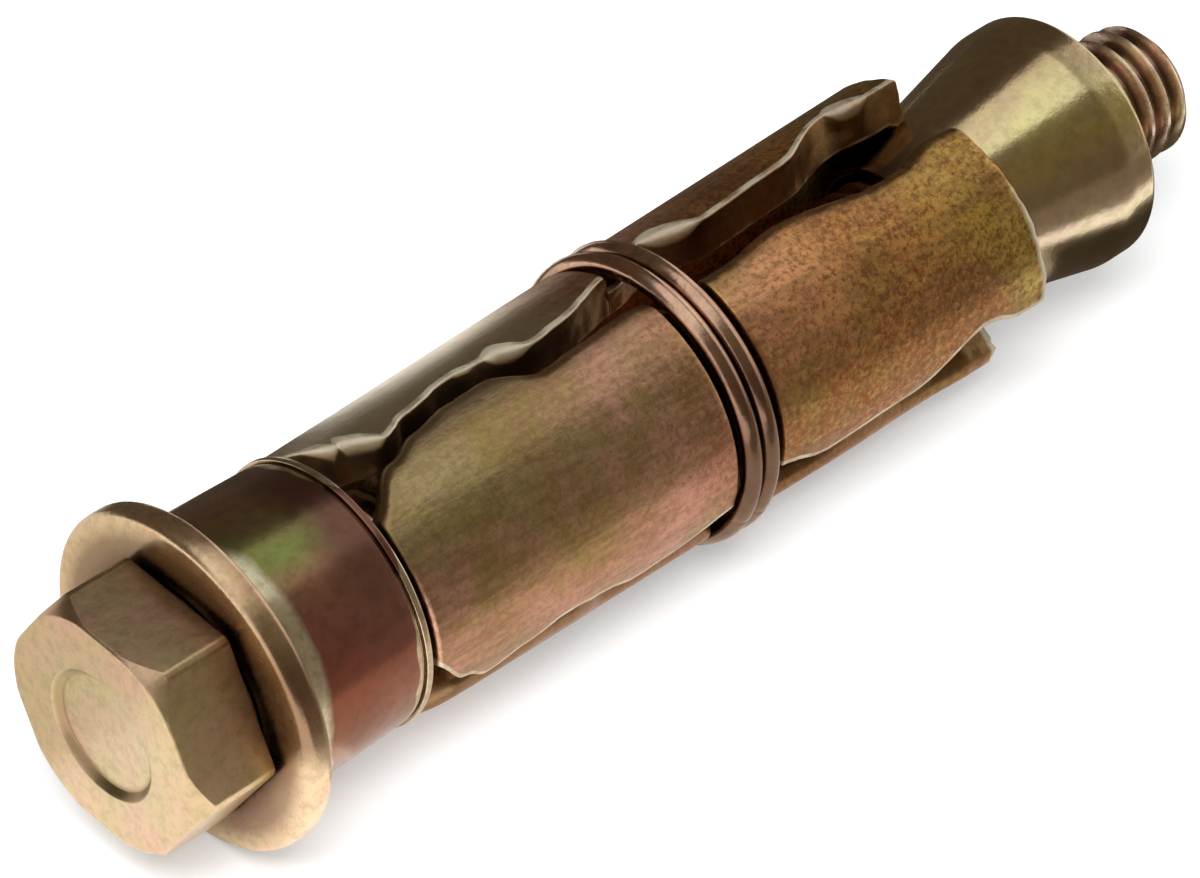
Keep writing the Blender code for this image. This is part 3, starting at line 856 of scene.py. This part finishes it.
def ferrule_finish():
    f = Finish("ferrule_passivated")
    f.wander(0.005, 0.003, 26, 12.0)
    share = f.turn_share()
    # Colours round the bolt, darker at the front as painted shade
    base = f.mix(f.span(f.x, -0.0030, -0.0014), f.ramp(share, FERRULE_HIND), f.ramp(share, FERRULE_FORE))
    # Painted highlight: a pale stripe round the rear edge next to the washer
    base = f.mix(f.scaled(f.span(f.x, -0.0048, -0.0052), 0.85), base, (0.92, 0.86, 0.60))
    # Painted highlight: a pale lip at the front
    lip_glint = f.span(f.x, 0.00002, 0.00010)
    base = f.mix(f.scaled(lip_glint, 0.8), base, (0.86, 0.72, 0.50))
    mottle = f.noise(0.0006, 3.0, 0.65, seed=14.0)
    base = f.mix(f.ramp(mottle, [(0.35, 0.3), (0.55, 0.0)]), base, (0.16, 0.08, 0.05))
    rough = f.sum(f.scaled(f.noise(0.0015, 3.0, 0.6, seed=15.0), 0.14), 0.15)
    normal = f.relief(mottle, 0.12, RELIEF_DEPTH)
    return f.done(base, rough, normal)


def plain_finish(name, colour, second, roughness, seed, turns=None, rounds=None):
    """A mottled film of these two colours. Turns, if given, are stops of painted light and shade round the
    bolt, and rounds are stops of painted light and shade from the bolt's axis out to 8 mm, multiplied into
    the colour."""
    f = Finish(name)
    f.wander(0.005, 0.004, 30 if turns is None else 10, seed)
    patch = f.ramp(f.noise(0.003, 4.0, 0.6, seed=seed), [(0.38, 0.0), (0.64, 1.0)])
    base = f.mix(patch, colour, second)
    if turns is not None:
        # Painted light and shade round the bolt
        share = f.turn_share()
        base = f.mix(1.0, base, f.ramp(share, turns), "MULTIPLY")
    # Painted light and shade out from the bolt's axis
    if rounds is not None:
        base = f.mix(1.0, base, f.ramp(f.span(f.off_axis, 0, 0.008), rounds), "MULTIPLY")
    mottle = f.noise(0.0005, 4.0, 0.7, seed=seed + 2)
    base = f.mix(f.ramp(mottle, [(0.35, 0.35), (0.55, 0.0)]), base, tuple(c * 0.45 for c in colour))
    rough = f.sum(f.scaled(f.noise(0.001, 3.0, 0.6, seed=seed + 4), 0.15), roughness - 0.07)
    normal = f.relief(mottle, 0.2, RELIEF_DEPTH)
    return f.done(base, rough, normal)


# Colours along the shield, from its rear to its mouth
SHIELD_UPPER = [
    (0.0, (0.50, 0.40, 0.21)),
    (0.28, (0.48, 0.36, 0.18)),
    (0.45, (0.60, 0.35, 0.21)),
    (0.60, (0.88, 0.41, 0.21)),
    (0.80, (0.96, 0.45, 0.11)),
    (0.95, (0.62, 0.42, 0.08)),
]
SHIELD_LOWER = [
    (0.0, (0.56, 0.33, 0.17)),
    (0.25, (0.66, 0.37, 0.22)),
    (0.42, (0.76, 0.38, 0.30)),
    (0.60, (0.38, 0.12, 0.04)),
    (0.80, (0.46, 0.18, 0.05)),
    (0.97, (0.52, 0.34, 0.08)),
]

# Colours round the bolt for the ferrule, and painted light and shade round the bolt for the nut, the washer
# and the wire, as shares of a turn
# The ferrule's darker stops round 0.5, at its front, are painted shade; the rest is the film's own colour.
FERRULE_HIND = [
    (0.0, (0.44, 0.28, 0.16)),
    (0.40, (0.44, 0.24, 0.13)),
    (0.47, (0.34, 0.15, 0.08)),
    (0.53, (0.34, 0.12, 0.07)),
    (0.61, (0.46, 0.18, 0.14)),
    (0.67, (0.46, 0.24, 0.15)),
    (0.71, (0.30, 0.37, 0.10)),
    (0.76, (0.44, 0.34, 0.16)),
    (0.81, (0.50, 0.30, 0.20)),
    (1.0, (0.44, 0.28, 0.16)),
]
FERRULE_FORE = [
    (0.0, (0.40, 0.24, 0.15)),
    (0.47, (0.40, 0.19, 0.12)),
    (0.53, (0.32, 0.12, 0.08)),
    (0.61, (0.42, 0.20, 0.15)),
    (0.67, (0.26, 0.13, 0.09)),
    (0.76, (0.26, 0.14, 0.10)),
    (1.0, (0.40, 0.24, 0.15)),
]
NUT_LIGHT_AND_SHADE = [
    (0.0, (0.85, 0.80, 0.90)),
    (0.44, (0.50, 0.45, 0.50)),
    (0.475, (0.50, 0.45, 0.50)),
    (0.495, (1.0, 0.92, 1.20)),
    (0.522, (0.95, 0.86, 1.15)),
    (0.542, (0.80, 0.72, 0.86)),
    (0.57, (0.75, 0.66, 0.70)),
    (0.62, (0.90, 0.80, 0.62)),
    (0.67, (1.05, 1.05, 1.05)),
    (0.74, (0.80, 0.68, 0.76)),
    (1.0, (0.85, 0.80, 0.90)),
]
WASHER_LIGHT_AND_SHADE = [
    (0.0, (1.0, 1.0, 1.0)),
    (0.44, (1.15, 1.20, 1.20)),
    (0.50, (1.10, 1.10, 1.10)),
    (0.53, (0.46, 0.42, 0.40)),
    (0.60, (0.42, 0.36, 0.32)),
    (0.66, (0.95, 0.90, 0.86)),
    (0.72, (1.10, 1.12, 1.10)),
    (1.0, (1.05, 1.10, 1.05)),
]
WIRE_LIGHT_AND_SHADE = [
    (0.0, (0.80, 0.78, 0.75)),
    (0.42, (0.55, 0.52, 0.48)),
    (0.53, (0.42, 0.38, 0.32)),
    (0.60, (0.60, 0.50, 0.44)),
    (0.68, (1.20, 1.15, 1.05)),
    (0.82, (1.30, 1.22, 1.15)),
    (1.0, (0.80, 0.78, 0.75)),
]

# Painted light and shade from the bolt's axis out to 8 mm: shade on the washer next to the head and a
# highlight towards its rim, shade round the wall of the head's dish, shade in the thread's roots and
# highlights on its crests, and shade on the nut's narrow inner end
WASHER_SHADE_AND_HIGHLIGHT = [
    (0.66, (0.34, 0.27, 0.22)),
    (0.78, (0.55, 0.48, 0.42)),
    (0.86, (1.10, 1.08, 1.02)),
    (1.0, (1.45, 1.45, 1.40)),
]
FACE_DISH_SHADE = [
    (0.30, (1.0, 1.0, 1.0)),
    (0.325, (0.62, 0.56, 0.50)),
    (0.345, (0.62, 0.56, 0.50)),
    (0.37, (1.0, 0.98, 0.98)),
    (0.52, (1.05, 0.98, 0.98)),
]
THREAD_SHADE_AND_HIGHLIGHT = [
    (0.310, (0.60, 0.52, 0.56)),
    (0.345, (1.15, 1.05, 1.30)),
    (0.370, (1.60, 1.60, 2.10)),
]
NUT_INNER_END_SHADE = [
    (0.46, (0.25, 0.20, 0.18)),
    (0.54, (1.0, 1.0, 1.0)),
]

shield_steel = shield_finish()
for sheet in sheets:
    dress(sheet, shield_steel)
washer_steel = plain_finish(
    "washer_passivated", (0.58, 0.43, 0.27), (0.58, 0.35, 0.24), 0.28, 11.0, WASHER_LIGHT_AND_SHADE, WASHER_SHADE_AND_HIGHLIGHT
)
dress(washer, washer_steel)
dress(ferrule, ferrule_finish())
nut_steel = plain_finish(
    "nut_passivated", (0.78, 0.70, 0.33), (0.70, 0.56, 0.32), 0.17, 13.0, NUT_LIGHT_AND_SHADE, NUT_INNER_END_SHADE
)
dress(nut, nut_steel)
bolt_colours = ((0.58, 0.48, 0.25), (0.64, 0.44, 0.29))
dress(head, plain_finish("head_passivated", *bolt_colours, 0.34, 14.0, rounds=FACE_DISH_SHADE))
dress(shank, plain_finish("thread_passivated", *bolt_colours, 0.26, 14.0, rounds=THREAD_SHADE_AND_HIGHLIGHT))
wire_steel = plain_finish("wire_passivated", (0.60, 0.41, 0.30), (0.44, 0.26, 0.20), 0.20, 15.0, WIRE_LIGHT_AND_SHADE)
for run in runs:
    dress(run, wire_steel)


# Studio


def shown(tree):
    """1 for what is seen directly, in a reflection or through glass, and 0 for light that falls."""
    rays = tree.nodes.new("ShaderNodeLightPath")
    found = rays.outputs["Is Camera Ray"]
    for kind in ("Is Glossy Ray", "Is Transmission Ray"):
        either = tree.nodes.new("ShaderNodeMath")
        either.operation = "MAXIMUM"
        tree.links.new(found, either.inputs[0])
        tree.links.new(rays.outputs[kind], either.inputs[1])
        found = either.outputs[0]
    return found


def card_material(name, colour, glow, lit=0):
    """A matt card. Its glow shows to the camera and in reflections, and doesn't light the object."""
    material = bpy.data.materials.new(name)
    material.use_nodes = True
    tree = material.node_tree
    tree.nodes.clear()
    level = tree.nodes.new("ShaderNodeMath")
    level.operation = "MULTIPLY"
    level.inputs[1].default_value = glow
    emit = tree.nodes.new("ShaderNodeEmission")
    emit.inputs["Color"].default_value = (*colour, 1)
    diffuse = tree.nodes.new("ShaderNodeBsdfDiffuse")
    diffuse.inputs["Color"].default_value = (*(c * lit for c in colour), 1)
    both = tree.nodes.new("ShaderNodeAddShader")
    out = tree.nodes.new("ShaderNodeOutputMaterial")
    tree.links.new(shown(tree), level.inputs[0])
    tree.links.new(level.outputs[0], emit.inputs["Strength"])
    tree.links.new(diffuse.outputs[0], both.inputs[0])
    tree.links.new(emit.outputs[0], both.inputs[1])
    tree.links.new(both.outputs[0], out.inputs["Surface"])
    return material


def card(name, corners, material, flag=True):
    """A flat card of the studio. A flag shows in reflections only."""
    mesh = bpy.data.meshes.new(name)
    mesh.from_pydata(corners, [], [(0, 1, 2, 3)])
    mesh.materials.append(material)
    obj = bpy.data.objects.new(name, mesh)
    bpy.context.scene.collection.objects.link(obj)
    if flag:
        obj.visible_camera = False
        obj.visible_diffuse = False
        obj.visible_shadow = False
    return obj


def strip(x0, x1, low, high):
    """Corners of a card that stands along X between these two (y, z) edges."""
    return [(x0, *low), (x1, *low), (x1, *high), (x0, *high)]


def flat(edge):
    """Corners of a card that lies just above the floor, with these (x, y) corners."""
    return [(x, y, ABOVE_FLOOR) for x, y in edge]


def ground(x0, x1, y0, y1):
    return flat([(x0, y0), (x1, y0), (x1, y1), (x0, y1)])


ABOVE_FLOOR = 0.0003
# Lower and upper edges of the standing flags, as (y, z)
FRONT_FLAG = ((-0.30, 0.0), (-0.12, 0.30))
BACK_FLAG = ((0.20, 0.0), (0.12, 0.30))
TOP_FLAG = ((-0.12, 0.301), (0.12, 0.301))
# Where the patches on the floor meet
HEAD_X = -0.0112
NUT_X = 0.0215
NEAR_Y = -0.024
MIDDLE_Y = -0.003
FAR_Y = 0.010

PAINTS = {
    "flag_front": ((1.0, 0.84, 0.62), 0.19),
    "flag_front_right": ((1.0, 0.86, 0.66), 0.26),
    "flag_front_floor": ((1.0, 0.86, 0.70), 0.30),
    "flag_near_floor": ((1.0, 0.92, 0.84), 0.78),
    "flag_left_floor": ((1.0, 0.95, 0.88), 0.95),
    "flag_back": ((1.0, 0.78, 0.56), 0.09),
    "flag_top": ((1, 0.96, 0.9), 0.5),
}
BACK_LEFT = [(HEAD_X, FAR_Y), (-0.0107, FAR_Y), (0.1105, 0.20), (HEAD_X, 0.20)]
BACK_RIGHT = [(0.0003, FAR_Y), (0.18, FAR_Y), (0.18, 0.20), (0.1215, 0.20)]
FLAGS = (
    ("flag_front", strip(-0.50, 0.172, *FRONT_FLAG), "flag_front"),
    ("flag_front_right", strip(0.172, 0.27, *FRONT_FLAG), "flag_front_right"),
    ("flag_front_floor", ground(-0.02, 0.18, -0.30, NEAR_Y), "flag_front_floor"),
    ("flag_nut_floor", ground(NUT_X, 0.06, NEAR_Y, -0.0178), "flag_front_floor"),
    ("flag_near_floor", ground(-0.019, NUT_X, NEAR_Y, MIDDLE_Y), "flag_near_floor"),
    ("flag_left_floor", ground(-0.06, HEAD_X, 0.006, 0.08), "flag_left_floor"),
    ("flag_back", strip(-0.50, 0.27, *BACK_FLAG), "flag_back"),
    ("flag_back_floor_left", flat(BACK_LEFT), "flag_back"),
    ("flag_back_floor_right", flat(BACK_RIGHT), "flag_back"),
    # Painted shadow: dark cards on the floor under the part and its nut and beyond, seen only in
    # reflections
    ("painted_shadow_under", ground(HEAD_X, NUT_X, MIDDLE_Y, FAR_Y), "flag_back"),
    ("painted_shadow_under_nut", ground(NUT_X, 0.06, -0.0120, FAR_Y), "flag_back"),
    ("flag_top", strip(0.13, 0.27, *TOP_FLAG), "flag_top"),
)

floor_paint = card_material("floor", (1, 1, 1), 0.35, 0.7)
card("floor", strip(-2, 2, (-2, 0), (2, 0)), floor_paint, flag=False)
paints = {name: card_material(name, colour, glow) for name, (colour, glow) in PAINTS.items()}
for name, corners, paint in FLAGS:
    card(name, corners, paints[paint])

world = bpy.data.worlds.new("studio")
bpy.context.scene.world = world
world.use_nodes = True
sky = world.node_tree
level = sky.nodes.new("ShaderNodeMapRange")
level.inputs["To Min"].default_value = 0.5
level.inputs["To Max"].default_value = 1.0
background = sky.nodes["Background"]
background.inputs["Color"].default_value = (1, 1, 1, 1)
sky.links.new(shown(sky), level.inputs["Value"])
sky.links.new(level.outputs["Result"], background.inputs["Strength"])


def area_light(name, size, place, aim, power):
    data = bpy.data.lights.new(name, "AREA")
    data.shape = "RECTANGLE"
    data.size, data.size_y = size
    data.energy = power
    obj = bpy.data.objects.new(name, data)
    bpy.context.scene.collection.objects.link(obj)
    obj.location = place
    obj.rotation_euler = (Vector(aim) - Vector(place)).to_track_quat("-Z", "Y").to_euler()
    obj.visible_glossy = False
    return obj


area_light("softbox", (0.25, 0.16), (-0.14, -0.12, 0.30), (0, 0, 0), 1.6)

# Camera
camera = bpy.data.cameras.new("camera")
camera.lens = 180
camera.sensor_width = 36
camera.sensor_fit = "HORIZONTAL"
camera.clip_start = 0.01
camera_object = bpy.data.objects.new("camera", camera)
bpy.context.scene.collection.objects.link(camera_object)
across = Vector((0.7169, -0.6972, 0.0))
upward = Vector((0.4509, 0.4637, 0.7627))
backward = Vector((-0.5317, -0.5468, 0.6468))
turned = Matrix((across, upward, backward)).transposed().to_4x4()
stand = Vector((-0.1316, -0.1321, 0.1628))
camera_object.matrix_world = Matrix.Translation(stand) @ turned
bpy.context.scene.camera = camera_object

bpy.context.scene.view_settings.view_transform = "Standard"
